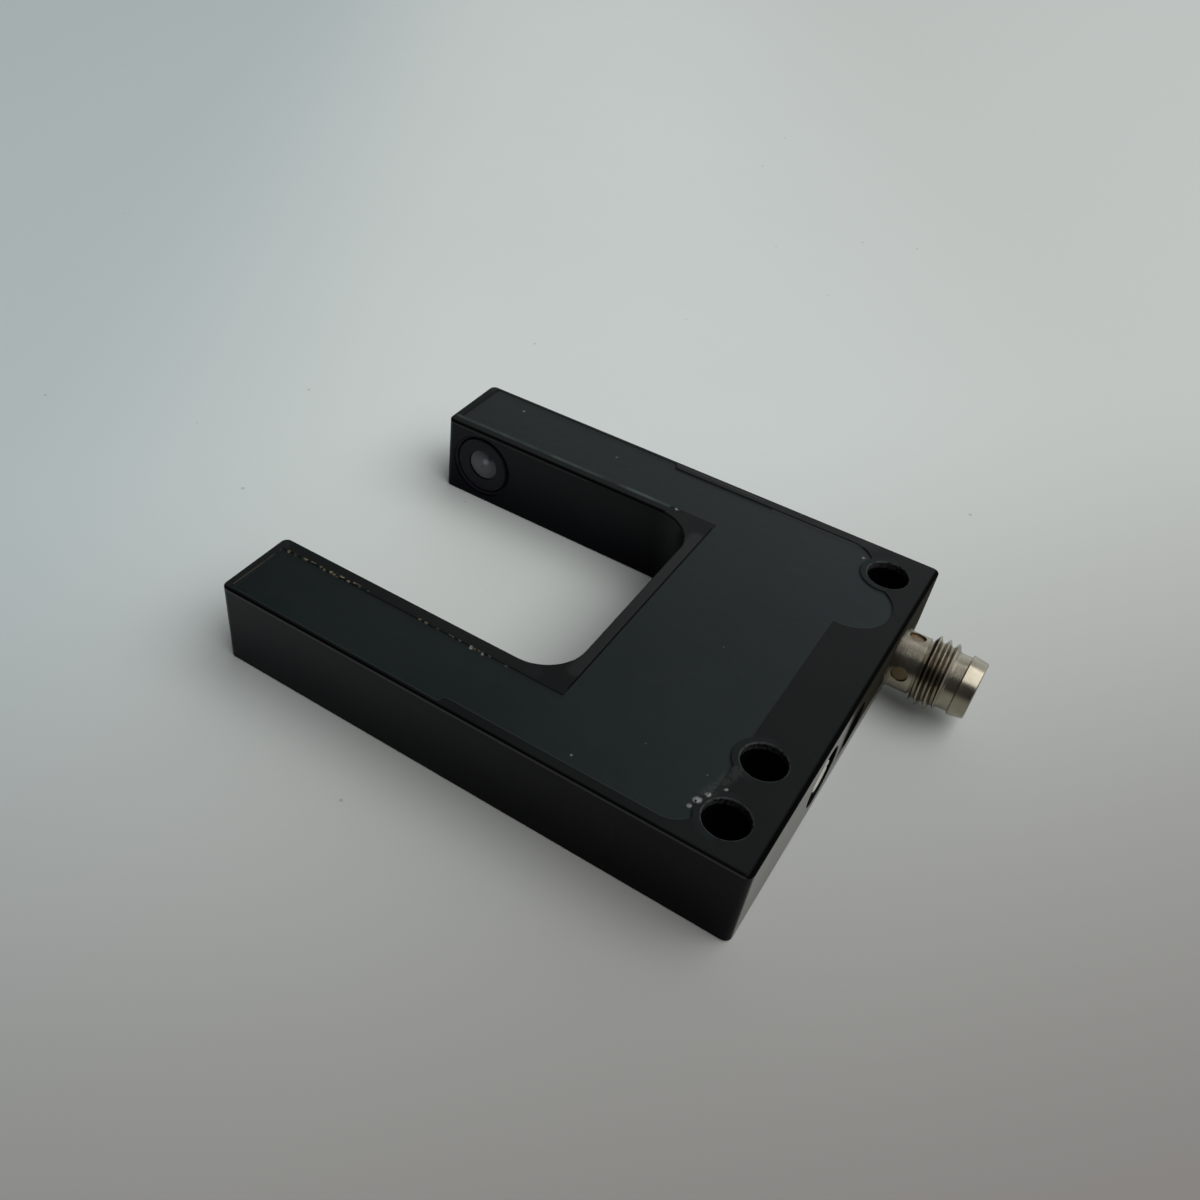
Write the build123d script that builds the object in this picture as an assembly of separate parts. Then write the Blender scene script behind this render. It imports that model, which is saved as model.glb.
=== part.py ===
from build123d import *
import math
import os

# Photo interrupter: a fork-shaped light barrier, potted, with a round threaded plug.
# X runs along the arms, which point to -X. Y runs across the fork and Z is up.
# The origin lies below the middle of the whole object, on the face that it stands on.
# All sizes are in millimetres.

# Fork body
slot_width = 30.0
slot_depth = 35.0
arm_width = 10.0
base_depth = 25.0
body_thickness = 10.0
slot_corner_radius = 5.0
body_corner_radius = 0.8
body_edge_radius = 0.2

# Pocket for the electronics, open at the top
floor_thickness = 1.0
slot_side_wall = 1.6
slot_end_wall = 1.4
tip_wall = 1.0
arm_outer_wall = 0.5
base_outer_wall = 1.3
outer_wall_step_from_tip = 27.5
outer_wall_step_rounding = 0.475  # share of the step that each of its two corners takes
pocket_corner_radius = 3.0
back_land = 6.6
lobe_radius = 4.3
lobe_from_back = 6.15
lobe_from_plug = 0.55
potting_recess = 0.15

# Mounting holes
hole_radius = 2.25
hole_inset = 4.5
hole_pair_spacing = 8.0
hole_edge_break = 0.1
boss_wall = 0.75

# Optics, the same in both arms
optics_from_tip = 5.3
seat_radius = 3.9
seat_lip_width = 0.35
bezel_recess = 0.35
bezel_thickness = 0.7
bezel_clearance = 0.15
bezel_edge_break = 0.12
holder_barrel_radius = 2.7
holder_barrel_length = 2.6
holder_clearance = 0.05
lens_radius = 2.05
lens_length = 1.6
lens_dome_height = 0.4
lens_rim_recess = 0.15
led_radius = 1.5
led_clearance = 0.1
led_back_room = 2.3
led_flange_radius = 1.9
led_flange_length = 1.0
led_lead_pitch = 2.54
led_lead_radius = 0.25
led_lead_run = 0.9

# Circuit board
board_thickness = 0.8
board_clearance = 0.45
board_pad_height = 0.4
board_pad_radius = 1.0
board_pad_inset = 4.0
arm_pad_from_tip = 12.0
base_pad_from_slot = 4.0
lead_stick_out = 0.2
lead_bend_radius = 0.7

# Parts soldered to the board: size, then place from the middle of the base or its sides
control_ic_size = (5.0, 4.0, 1.4)
control_ic_place = (-2.0, 4.0)
control_ic_lead_pitch = 1.27
control_ic_columns = 4
regulator_size = (4.5, 2.5, 1.5)
regulator_from_middle = 2.0
regulator_from_side = 9.5
regulator_lead_pitch = 1.5
regulator_columns = 3
transistor_size = (2.9, 1.4, 1.0)
transistor_from_middle = -1.0
transistor_from_side = 9.5
transistor_lead_pitch = 1.9
transistor_columns = 2
diode_size = (4.3, 2.6, 2.0)
diode_from_middle = -1.0
diode_from_side = 4.5
storage_capacitor_size = (2.8, 3.5, 1.9)
storage_capacitor_place = (-4.0, -4.0)
capacitor_row_place = (-4.0, -13.0)
capacitor_count = 4
resistor_row_place = (3.5, -4.0)
resistor_count = 3
lead_thickness = 0.15
lead_width = 0.4
lead_reach = 1.0
package_stand_off = 0.1
chip_height = 0.8
chip_length = 2.0
chip_width = 1.25
chip_pitch = 2.4

# Trimmer behind a recess in the back face
trimmer_from_inner_hole = 6.2
trimmer_recess_radius = 3.4
trimmer_recess_depth = 1.6
trimmer_body_radius = 2.15
trimmer_end_cover = 0.6
trimmer_rotor_radius = 1.75
trimmer_rotor_sink = 0.15
trimmer_rotor_gap = 0.1
trimmer_shaft_radius = 0.9
trimmer_shaft_length = 2.0
trimmer_running_clearance = 0.06
trimmer_slot_width = 0.6
trimmer_slot_depth = 0.6
trimmer_lead_pitch = 1.25
trimmer_lead_from_wall = 1.1

# Status light
status_offset = 2.0
pipe_radius = 2.6
pipe_flange_radius = 3.0
pipe_flange_thickness = 0.4
pipe_dome_height = 0.15
status_led_width = 3.0
status_led_depth = 1.1
status_led_height = 3.4
status_led_gap = 0.2

# Plug: lengths follow each other outwards from the back face, walls lie round the socket
plug_from_side = 10.5
socket_radius = 2.65
socket_depth = 4.6
collar_wall = 0.7
collar_length = 0.35
barrel_wall = 0.6
barrel_length = 2.35
relief_wall = 0.4
relief_length = 0.3
thread_radius = 3.95
thread_length = 2.7
thread_chamfer = 0.35
neck_wall = 0.5
neck_length = 1.35
nose_wall = 0.78
nose_length = 1.75
nose_tip_wall = 0.55
nose_edge_break = 0.12
dimple_radius = 0.9
dimple_depth = 0.3
dimple_from_back = 1.35
dimple_count = 4
dimple_turn = 10.0
shell_root_radius = 2.7
shell_root_length = 3.0
shell_seat_depth = 1.0
insert_step = 0.2
insert_root_radius = 2.2
insert_root_length = 3.8
key_width = 0.9
key_height = 0.5
key_setback = 0.8
pin_radius = 0.5
pin_circle_radius = 1.45
pin_setback = 0.9
pin_tip_chamfer = 0.2
pin_tail_from_back = 5.5
pin_angles = (90.0, 210.0, 330.0)

# Match tolerance for picking corners
tolerance = 0.001

# Positions worked out from the sizes above
body_length = slot_depth + base_depth
body_width = slot_width + 2 * arm_width
mid_height = body_thickness / 2
plug_length = (collar_length + barrel_length + relief_length + thread_length
               + neck_length + nose_length)
tip_x = -(body_length + plug_length) / 2
back_x = tip_x + body_length
nose_x = back_x + plug_length
slot_end_x = tip_x + slot_depth
slot_y = slot_width / 2
side_y = body_width / 2
optics_x = tip_x + optics_from_tip
pocket_back_x = back_x - back_land
base_x = (slot_end_x + slot_end_wall + pocket_back_x) / 2
board_bottom = floor_thickness + board_pad_height
board_top = board_bottom + board_thickness
lead_end_z = board_bottom - lead_stick_out
hole_x = back_x - hole_inset
hole_ys = (side_y - hole_inset, hole_inset - side_y, hole_inset + hole_pair_spacing - side_y)
plug_y = side_y - plug_from_side
trimmer_y = hole_ys[-1] + trimmer_from_inner_hole
trimmer_front_x = back_x - trimmer_recess_depth
trimmer_body_length = back_land - trimmer_recess_depth - trimmer_end_cover
trimmer_lead_run = trimmer_end_cover + trimmer_lead_from_wall
lens_back_y = slot_y + bezel_recess + lens_rim_recess + lens_length
led_front_y = lens_back_y + led_clearance
led_length = side_y - arm_outer_wall - led_back_room - led_front_y
regulator_place = (regulator_from_middle, regulator_from_side - side_y)
transistor_place = (transistor_from_middle, side_y - transistor_from_side)
diode_place = (diode_from_middle, side_y - diode_from_side)
collar_radius = socket_radius + collar_wall
barrel_radius = socket_radius + barrel_wall
relief_radius = socket_radius + relief_wall
neck_radius = socket_radius + neck_wall
nose_radius = socket_radius + nose_wall
nose_tip_radius = socket_radius + nose_tip_wall
board_pads = [(x, side * (side_y - board_pad_inset)) for side in (-1, 1)
              for x in (tip_x + arm_pad_from_tip, slot_end_x + base_pad_from_slot)]


# Shared shapes

def rectangle_between(x0, x1, y0, y1):
    """Flat rectangle between two corners."""
    return Pos((x0 + x1) / 2, (y0 + y1) / 2) * Rectangle(x1 - x0, y1 - y0)


def block(x, y, z, length, width, height):
    """Block that stands on height z with its middle at x and y."""
    return Pos(x, y, z + height / 2) * Box(length, width, height)


def rod(start, direction, radius, length):
    """Round bar from a point along a direction."""
    return extrude(Plane(origin=start, z_dir=direction) * Circle(radius), amount=length)


def turned(stations, origin, direction):
    """Turned piece from pairs of distance along the axis and radius."""
    first, last = stations[0][0], stations[-1][0]
    outline = [(0, first)] + [(radius, along) for along, radius in stations] + [(0, last)]
    face = make_face(Plane.XZ * Polyline(*outline, close=True))
    return Plane(origin=origin, z_dir=direction) * revolve(face, Axis.Z)


def bent_lead(start, run, radius):
    """Round lead that leaves a part sideways and drops through the board."""
    begin = Vector(*start)
    corner = begin + Vector(*run)
    end = Vector(corner.X, corner.Y, lead_end_z)
    path = FilletPolyline(begin, corner, end, radius=lead_bend_radius)
    return sweep(Plane(origin=begin, z_dir=Vector(*run)) * Circle(radius), path=path)


def corners_at(outline, x, y):
    """Corners of a flat outline at x, on both sides of the middle."""
    return [corner for corner in outline.vertices()
            if math.isclose(corner.X, x, abs_tol=tolerance)
            and math.isclose(abs(corner.Y), y, abs_tol=tolerance)]


# Housing

def fork_outline():
    """Outline of the fork seen from above."""
    body = rectangle_between(tip_x, back_x, -side_y, side_y)
    body -= rectangle_between(tip_x - slot_depth, slot_end_x, -slot_y, slot_y)
    body = fillet(corners_at(body, slot_end_x, slot_y), slot_corner_radius)
    ends = body.vertices().group_by(Axis.X)
    return fillet(ends[0] + ends[-1], body_corner_radius)


def pocket_outline(gap=0.0):
    """Outline of the pocket with its hole bosses, or of a plate a gap inside its walls."""
    front_x, rear_x = tip_x + tip_wall + gap, pocket_back_x - gap
    inner_y = slot_y + slot_side_wall + gap
    arm_y, base_y = side_y - arm_outer_wall - gap, side_y - base_outer_wall - gap
    step_x = tip_x + outer_wall_step_from_tip - gap
    arm = rectangle_between(front_x, rear_x, inner_y, base_y)
    arm += rectangle_between(front_x, step_x, inner_y, arm_y)
    outline = arm + mirror(arm, about=Plane.XZ)
    outline += rectangle_between(slot_end_x + slot_end_wall + gap, rear_x, -base_y, base_y)
    outline = fillet(corners_at(outline, rear_x, base_y), pocket_corner_radius - gap)
    steps = corners_at(outline, step_x, base_y) + corners_at(outline, step_x, arm_y)
    outline = fillet(steps, outer_wall_step_rounding * (base_outer_wall - arm_outer_wall))
    lobe_middle = Pos(back_x - lobe_from_back, plug_y - lobe_from_plug)
    outline += lobe_middle * Circle(lobe_radius - gap)
    for y in hole_ys:
        outline -= Pos(hole_x, y) * Circle(hole_radius + boss_wall + gap)
    return outline


def pocket_space(top):
    """Space of the pocket from its floor up to a height."""
    return Pos(0, 0, floor_thickness) * extrude(pocket_outline(), amount=top - floor_thickness)


def mounting_hole(y):
    """Cutter for one mounting hole, with the broken edges."""
    wide = hole_radius + hole_edge_break
    stations = [(0, wide), (hole_edge_break, hole_radius),
                (body_thickness - hole_edge_break, hole_radius), (body_thickness, wide)]
    return turned(stations, (hole_x, y, 0), (0, 0, 1))


def lens_seat():
    """Cutter for the stepped seat of a lens holder in the arm at +Y."""
    seat_depth = bezel_recess + bezel_thickness
    barrel_hole = holder_barrel_radius + holder_clearance
    stations = [(0, seat_radius + seat_lip_width), (bezel_recess, seat_radius), (seat_depth, seat_radius),
                (seat_depth, barrel_hole), (slot_side_wall, barrel_hole)]
    return turned(stations, (optics_x, slot_y, mid_height), (0, 1, 0))


def trimmer_passage():
    """Cutter for the recess in the back face and the passage behind it."""
    stations = [(0, trimmer_recess_radius), (trimmer_recess_depth, trimmer_recess_radius),
                (trimmer_recess_depth, trimmer_body_radius), (back_land, trimmer_body_radius)]
    return turned(stations, (back_x, trimmer_y, mid_height), (-1, 0, 0))


def status_passage():
    """Cutter for the light pipe."""
    return rod((back_x, status_offset, mid_height), (-1, 0, 0), pipe_radius, back_land)


def plug_passage():
    """Cutter for the plug's root, with the shoulder that the shell seats on."""
    stations = [(0, barrel_radius), (shell_seat_depth, barrel_radius),
                (shell_seat_depth, shell_root_radius), (insert_root_length, shell_root_radius)]
    return turned(stations, (back_x, plug_y, mid_height), (-1, 0, 0))


def housing():
    """Moulded fork with the pocket, pads for the board, bores and seats."""
    body = extrude(fork_outline(), amount=body_thickness)
    rims = body.edges().group_by(Axis.Z)
    body = fillet(rims[0] + rims[-1], body_edge_radius)
    body -= pocket_space(body_thickness)
    for x, y in board_pads:
        body += rod((x, y, floor_thickness), (0, 0, 1), board_pad_radius, board_pad_height)
    for y in hole_ys:
        body -= mounting_hole(y)
    body -= lens_seat() + mirror(lens_seat(), about=Plane.XZ)
    return body - trimmer_passage() - status_passage() - plug_passage()


# Optics, modelled in the arm at +Y

def lens_holder():
    """Round bezel with a barrel that carries the lens and shades the light."""
    front = slot_y + bezel_recess
    barrel_end = bezel_thickness + holder_barrel_length
    bezel_radius = seat_radius - bezel_clearance
    outside = turned([(0, bezel_radius - bezel_edge_break), (bezel_edge_break, bezel_radius),
                      (bezel_thickness, bezel_radius), (bezel_thickness, holder_barrel_radius),
                      (barrel_end, holder_barrel_radius)], (optics_x, front, mid_height), (0, 1, 0))
    bore = led_radius + led_clearance
    lens_end = lens_rim_recess + lens_length
    inside = turned([(0, lens_radius), (lens_end, lens_radius), (lens_end, bore), (barrel_end, bore)],
                    (optics_x, front, mid_height), (0, 1, 0))
    return outside - inside


def lens():
    """Flat-backed lens whose dome faces the slot."""
    rim_y = slot_y + bezel_recess + lens_rim_recess
    dome_radius = (lens_radius ** 2 + lens_dome_height ** 2) / (2 * lens_dome_height)
    profile = make_face(Plane.XZ * (
        Polyline((lens_radius, 0), (lens_radius, lens_length), (0, lens_length), (0, -lens_dome_height))
        + RadiusArc((0, -lens_dome_height), (lens_radius, 0), -dome_radius)))
    return Plane(origin=(optics_x, rim_y, mid_height), z_dir=(0, 1, 0)) * revolve(profile, Axis.Z)


def light_element():
    """Round moulded body of the emitter or the receiver, with its flange."""
    dome_y = led_front_y + led_radius
    body = rod((optics_x, dome_y, mid_height), (0, 1, 0), led_radius, led_length - led_radius)
    body += Pos(optics_x, dome_y, mid_height) * Sphere(led_radius)
    flange_start = (optics_x, led_front_y + led_length - led_flange_length, mid_height)
    return body + rod(flange_start, (0, 1, 0), led_flange_radius, led_flange_length)


def light_element_leads():
    """Two leads that bend down through the board."""
    back_y = led_front_y + led_length
    return [bent_lead((optics_x + side * led_lead_pitch / 2, back_y, mid_height), (0, led_lead_run, 0),
                      led_lead_radius) for side in (-1, 1)]


# Circuit board and the parts on it

def circuit_board(through_leads):
    """Fork-shaped board that keeps clear of the pocket's walls."""
    board = Pos(0, 0, board_bottom) * extrude(pocket_outline(board_clearance), amount=board_thickness)
    for lead in through_leads:
        board -= lead
    return board


def package(place, size):
    """Moulded body of a soldered part."""
    body = block(base_x + place[0], place[1], board_top + package_stand_off, *size)
    return chamfer(body.edges().group_by(Axis.Z)[-1], package_stand_off)


def gull_leads(place, size, columns, pitch, sides=(-1, 1)):
    """Rows of bent leads beside a soldered part."""
    width, height = size[1:]
    mid = package_stand_off + height / 2
    foot = lead_thickness / 2
    half = lead_reach / 2
    shape = make_face(Plane.XZ * trace(
        Polyline((0, mid), (half / 2, mid), (half, foot), (lead_reach, foot)), lead_thickness).wire())
    one = extrude(shape, amount=lead_width / 2, both=True)
    leads = []
    for side in sides:
        for column in range(columns):
            along = (column - (columns - 1) / 2) * pitch
            foot_place = Pos(base_x + place[0] + along, place[1] + side * width / 2, board_top)
            leads.append(foot_place * Rot(0, 0, 90 * side) * one)
    return leads


def chip_row(place, count):
    """Row of small two-ended chips."""
    return [block(base_x + place[0], place[1] + (index - (count - 1) / 2) * chip_pitch, board_top,
                  chip_length, chip_width, chip_height) for index in range(count)]


# Trimmer and status light

def trimmer_body():
    """Round potentiometer body with a bore for the rotor's shaft."""
    start = (trimmer_front_x, trimmer_y, mid_height)
    body = rod(start, (-1, 0, 0), trimmer_body_radius, trimmer_body_length)
    bore_radius = trimmer_shaft_radius + trimmer_running_clearance
    return body - rod(start, (-1, 0, 0), bore_radius, trimmer_shaft_length + trimmer_rotor_gap)


def trimmer_rotor():
    """Slotted rotor that a screwdriver turns."""
    face_x = back_x - trimmer_rotor_sink
    head = trimmer_recess_depth - trimmer_rotor_sink - trimmer_rotor_gap
    rotor = turned([(0, trimmer_rotor_radius), (head, trimmer_rotor_radius), (head, trimmer_shaft_radius),
                    (head + trimmer_shaft_length, trimmer_shaft_radius)],
                   (face_x, trimmer_y, mid_height), (-1, 0, 0))
    slot = Pos(face_x, trimmer_y, mid_height) * Box(
        2 * trimmer_slot_depth, 2 * trimmer_recess_radius, trimmer_slot_width)
    return rotor - slot


def trimmer_leads():
    """Three leads from the potentiometer to the board."""
    start_x = trimmer_front_x - trimmer_body_length
    return [bent_lead((start_x, trimmer_y + side * trimmer_lead_pitch, mid_height),
                      (-trimmer_lead_run, 0, 0), led_lead_radius) for side in (-1, 0, 1)]


def status_light_pipe():
    """Clear pipe that brings the status light to the back face."""
    origin = (pocket_back_x - pipe_flange_thickness, status_offset, mid_height)
    length = back_land + pipe_flange_thickness
    return turned([(0, pipe_flange_radius), (pipe_flange_thickness, pipe_flange_radius),
                   (pipe_flange_thickness, pipe_radius), (length - pipe_dome_height, pipe_radius),
                   (length, pipe_radius - pipe_dome_height)], origin, (1, 0, 0))


def status_led():
    """Side-looking light behind the pipe."""
    x = pocket_back_x - pipe_flange_thickness - status_led_gap - status_led_depth / 2
    return block(x, status_offset, board_top, status_led_depth, status_led_width, status_led_height)


# Plug

def plug_axis_point(from_back):
    """Point on the plug's axis at a distance outside the back face."""
    return (back_x + from_back, plug_y, mid_height)


def shell_stations():
    """Outside of the turned shell, from its root to its nose."""
    barrel_end = collar_length + barrel_length
    thread_start = barrel_end + relief_length
    thread_end = thread_start + thread_length
    nose_start = thread_end + neck_length
    return [(-shell_root_length, shell_root_radius), (-shell_seat_depth, shell_root_radius),
            (-shell_seat_depth, barrel_radius), (0, barrel_radius), (0, collar_radius),
            (collar_length, collar_radius), (collar_length, barrel_radius), (barrel_end, barrel_radius),
            (barrel_end, relief_radius), (thread_start, relief_radius),
            (thread_start, thread_radius - thread_chamfer),
            (thread_start + thread_chamfer, thread_radius),
            (thread_end - thread_chamfer, thread_radius),
            (thread_end, thread_radius - thread_chamfer), (thread_end, neck_radius),
            (nose_start, neck_radius), (nose_start, nose_radius - nose_edge_break),
            (nose_start + nose_edge_break, nose_radius),
            (plug_length - nose_edge_break, nose_tip_radius),
            (plug_length, nose_tip_radius - nose_edge_break)]


def insert_space():
    """Bore of the shell: the socket for the mating plug and the insert's seat."""
    return turned([(-shell_root_length, insert_root_radius), (insert_step, insert_root_radius),
                   (insert_step, socket_radius), (plug_length, socket_radius)], plug_axis_point(0), (1, 0, 0))


def connector_shell():
    """Turned metal shell with four staking dimples round its barrel."""
    shell = turned(shell_stations(), plug_axis_point(0), (1, 0, 0)) - insert_space()
    for index in range(dimple_count):
        angle = math.radians(dimple_turn + index * 360 / dimple_count)
        out = Vector(0, -math.cos(angle), math.sin(angle))
        floor = Vector(*plug_axis_point(dimple_from_back)) + out * (barrel_radius - dimple_depth)
        shell -= rod(floor, out, dimple_radius, 2 * dimple_depth)
    return shell


def contact_pins():
    """Three contact pins that run through the insert down to the board."""
    pins = []
    for angle in pin_angles:
        y = plug_y + pin_circle_radius * math.cos(math.radians(angle))
        z = mid_height + pin_circle_radius * math.sin(math.radians(angle))
        tip = nose_x - pin_setback
        run = pin_tail_from_back + plug_length - pin_setback
        pin = bent_lead((tip, y, z), (-run, 0, 0), pin_radius)
        pins.append(chamfer(pin.edges().sort_by(Axis.X)[-1], pin_tip_chamfer))
    return pins


def connector_insert(pins):
    """Insulating insert that holds the pins, with the key of the socket."""
    floor = plug_length - socket_depth
    insert = turned([(-insert_root_length, insert_root_radius), (insert_step, insert_root_radius),
                     (insert_step, socket_radius), (floor, socket_radius)], plug_axis_point(0), (1, 0, 0))
    key_length = socket_depth - key_setback
    key = block(back_x + floor + key_length / 2, plug_y, mid_height - socket_radius,
                key_length, key_width, key_height)
    insert += key & rod(plug_axis_point(floor), (1, 0, 0), socket_radius, key_length)
    for pin in pins:
        insert -= pin
    return insert


# Assembly

def as_one(solids):
    """Several separate solids kept together in one named piece."""
    return Compound(children=list(solids))


def potting_compound(inner_pieces):
    """Resin that fills the pocket round everything in it."""
    resin = pocket_space(body_thickness - potting_recess)
    for x, y in board_pads:
        resin -= rod((x, y, floor_thickness), (0, 0, 1), board_pad_radius, board_pad_height)
    barrel_end = bezel_recess + bezel_thickness + holder_barrel_length
    for side in (-1, 1):
        resin -= rod((optics_x, side * slot_y, mid_height), (0, side, 0), holder_barrel_radius, barrel_end)
    for piece in inner_pieces:
        resin -= piece
    return resin


def build():
    """All pieces by name."""
    far_leads = light_element_leads()
    near_leads = [mirror(lead, about=Plane.XZ) for lead in far_leads]
    pins = contact_pins()
    trimmer_pins = trimmer_leads()
    board = circuit_board(far_leads + near_leads + pins + trimmer_pins)
    soldered = {
        "control_ic": [package(control_ic_place, control_ic_size)],
        "control_ic_leads": gull_leads(control_ic_place, control_ic_size, control_ic_columns,
                                       control_ic_lead_pitch),
        "voltage_regulator": [package(regulator_place, regulator_size)],
        "voltage_regulator_leads": gull_leads(regulator_place, regulator_size, regulator_columns,
                                              regulator_lead_pitch, sides=(-1,)),
        "output_transistor": [package(transistor_place, transistor_size)],
        "output_transistor_leads": gull_leads(transistor_place, transistor_size, transistor_columns,
                                              transistor_lead_pitch),
        "protection_diode": [package(diode_place, diode_size)],
        "storage_capacitor": [package(storage_capacitor_place, storage_capacitor_size)],
        "chip_capacitors": chip_row(capacitor_row_place, capacitor_count),
        "chip_resistors": chip_row(resistor_row_place, resistor_count),
    }
    pieces = {
        "circuit_board": board,
        "emitter_lens_holder": lens_holder(),
        "emitter_lens": lens(),
        "emitter_diode": light_element(),
        "emitter_leads": as_one(far_leads),
        "trimmer_body": trimmer_body(),
        "trimmer_rotor": trimmer_rotor(),
        "trimmer_leads": as_one(trimmer_pins),
        "status_light_pipe": status_light_pipe(),
        "status_led": status_led(),
        "connector_shell": connector_shell(),
        "connector_insert": connector_insert(pins),
    }
    for name in ("lens_holder", "lens", "diode", "leads"):
        pieces["receiver_" + name] = mirror(pieces["emitter_" + name], about=Plane.XZ)
    for index, pin in enumerate(pins, start=1):
        pieces[f"contact_pin_{index}"] = pin
    for name, solids in soldered.items():
        pieces[name] = as_one(solids) if len(solids) > 1 else solids[0]
    pieces["potting_compound"] = potting_compound(list(pieces.values()))
    pieces["housing"] = housing()
    return pieces


os.makedirs("parts", exist_ok=True)
for piece_name, piece in build().items():
    export_step(piece, f"parts/{piece_name}.step")
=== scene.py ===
# %% [markdown]
# A fork light barrier on a pale table
#
# This lesson dresses a finished construction model of a potted photo interrupter. The fork, its
# resin filling, the lenses and the trimmer come ready from the model, at their real size. Blender
# adds what a drawing doesn't hold: the finish of each surface, the thread on the plug, the wear
# that years in a machine left, and a table with soft light.

# %% Load the model
import math

import bmesh
import bpy
from mathutils import Euler, Matrix, Vector


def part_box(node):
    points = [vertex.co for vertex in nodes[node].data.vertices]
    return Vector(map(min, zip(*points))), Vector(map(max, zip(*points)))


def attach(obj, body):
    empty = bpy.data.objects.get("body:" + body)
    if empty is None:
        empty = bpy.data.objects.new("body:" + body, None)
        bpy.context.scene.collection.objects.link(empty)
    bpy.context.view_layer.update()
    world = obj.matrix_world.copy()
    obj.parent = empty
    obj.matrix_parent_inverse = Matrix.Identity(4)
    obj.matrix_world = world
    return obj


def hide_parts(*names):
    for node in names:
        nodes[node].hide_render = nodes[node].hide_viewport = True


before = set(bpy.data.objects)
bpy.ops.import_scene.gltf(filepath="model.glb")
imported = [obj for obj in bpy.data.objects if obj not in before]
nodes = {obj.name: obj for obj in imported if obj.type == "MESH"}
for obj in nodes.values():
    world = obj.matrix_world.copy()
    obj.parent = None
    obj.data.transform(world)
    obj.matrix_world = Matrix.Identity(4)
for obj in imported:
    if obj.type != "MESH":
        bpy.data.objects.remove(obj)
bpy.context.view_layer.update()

# %% [markdown]
# Sizes are easier to read in millimetres, and Blender measures in metres, so one factor turns the
# first into the second. Colours are written as a screen shows them, from 0 to 255, and turned into
# the linear values that light is reckoned with.

# %% Millimetres and colours
MM = 0.001
SCREEN_WHITE = 255


def linear(channel):
    """One screen channel as linear light, by the usual curve of screens."""
    value = channel / SCREEN_WHITE
    return value / 12.92 if value <= 0.04045 else ((value + 0.055) / 1.055) ** 2.4


def shade(red, green, blue):
    """A screen colour as the four linear values that a node takes."""
    return (linear(red), linear(green), linear(blue), 1.0)


print("mid grey is", round(linear(128), 3), "in linear light")

# %% [markdown]
# The main places of the object are read from the model, so that what is added here follows it: the
# back face, the top of the fork and of the resin, the plug's axis, and the line through both
# lenses.

# %% Places read from the model
_, housing_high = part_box("housing")
_, resin_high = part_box("potting_compound")
shell_low, shell_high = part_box("connector_shell")
lens_low, lens_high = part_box("emitter_lens")
holder_low, holder_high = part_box("emitter_lens_holder")
BACK_X = housing_high.x
TOP_Z = housing_high.z
RESIN_Z = resin_high.z
PLUG_Y = (shell_low.y + shell_high.y) / 2
PLUG_Z = (shell_low.z + shell_high.z) / 2
LENS_X = (lens_low.x + lens_high.x) / 2
LENS_Z = (lens_low.z + lens_high.z) / 2
LENS_RADIUS = (lens_high.x - lens_low.x) / 2
BEZEL_RADIUS = (holder_high.z - holder_low.z) / 2
print("back face at", round(BACK_X / MM, 2), "mm, plug axis at y", round(PLUG_Y / MM, 2), "mm")

# %% [markdown]
# The camera stands where the photographer stood: to the right of the near arm, about a hand's
# length above the table. The picture was cut from a wider one, so its middle isn't on the lens
# axis, and a small shift of the frame brings that back.

# %% Camera
CAMERA_PLACE = Vector((34.23, -84.09, 88.50)) * MM
CAMERA_TURN = (47.03, -3.44, 34.12)
CAMERA_LENS = 33.96
CAMERA_SHIFT = (0.0867, 0.0142)

camera_data = bpy.data.cameras.new("camera")
camera_data.lens = CAMERA_LENS
camera_data.shift_x, camera_data.shift_y = CAMERA_SHIFT
camera_data.clip_start = MM
camera = bpy.data.objects.new("camera", camera_data)
camera.location = CAMERA_PLACE
camera.rotation_euler = Euler([math.radians(angle) for angle in CAMERA_TURN])
bpy.context.scene.collection.objects.link(camera)
bpy.context.scene.camera = camera
bpy.context.scene.view_settings.view_transform = "Standard"
print("camera", round(camera.location.length / MM), "mm from the object's origin")

# %% [markdown]
# Materials are built from many small nodes, so a few helpers keep the code short. The first adds a
# node and fills its sockets. The others each stand for one kind of step: a sum, a soft step from
# one value to another, two masks laid over each other, a texture, a mix of two colours.

# %% Helpers for node trees
def add(tree, kind, sockets=None, **settings):
    """Adds a node. Sockets are named or numbered and take a value or a link."""
    item = tree.nodes.new(kind)
    for name, value in settings.items():
        setattr(item, name, value)
    for name, value in (sockets or {}).items():
        if isinstance(value, bpy.types.NodeSocket):
            tree.links.new(value, item.inputs[name])
        else:
            item.inputs[name].default_value = value
    return item


def sum_of(tree, operation, *values):
    """Result of one Math node."""
    return add(tree, "ShaderNodeMath", dict(enumerate(values)), operation=operation).outputs[0]


def vector_of(tree, operation, *values, output=0, **named):
    """Result of one Vector Math node."""
    sockets = dict(enumerate(values)) | named
    return add(tree, "ShaderNodeVectorMath", sockets, operation=operation).outputs[output]


def both(tree, first, second):
    """Where both masks lie, or one mask at part strength."""
    return sum_of(tree, "MULTIPLY", first, second)


def either(tree, first, second):
    """Where at least one of two masks lies."""
    return sum_of(tree, "MAXIMUM", first, second)


def ramp(tree, value, start, end, low=0.0, high=1.0):
    """A value that goes smoothly from low at start to high at end."""
    sockets = {"Value": value, "From Min": start, "From Max": end, "To Min": low, "To Max": high}
    return add(tree, "ShaderNodeMapRange", sockets, interpolation_type="SMOOTHSTEP").outputs[0]


def between(tree, value, start, end):
    """A mask that rises from 0 to 1 between two places in millimetres."""
    return ramp(tree, value, start * MM, end * MM)


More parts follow.
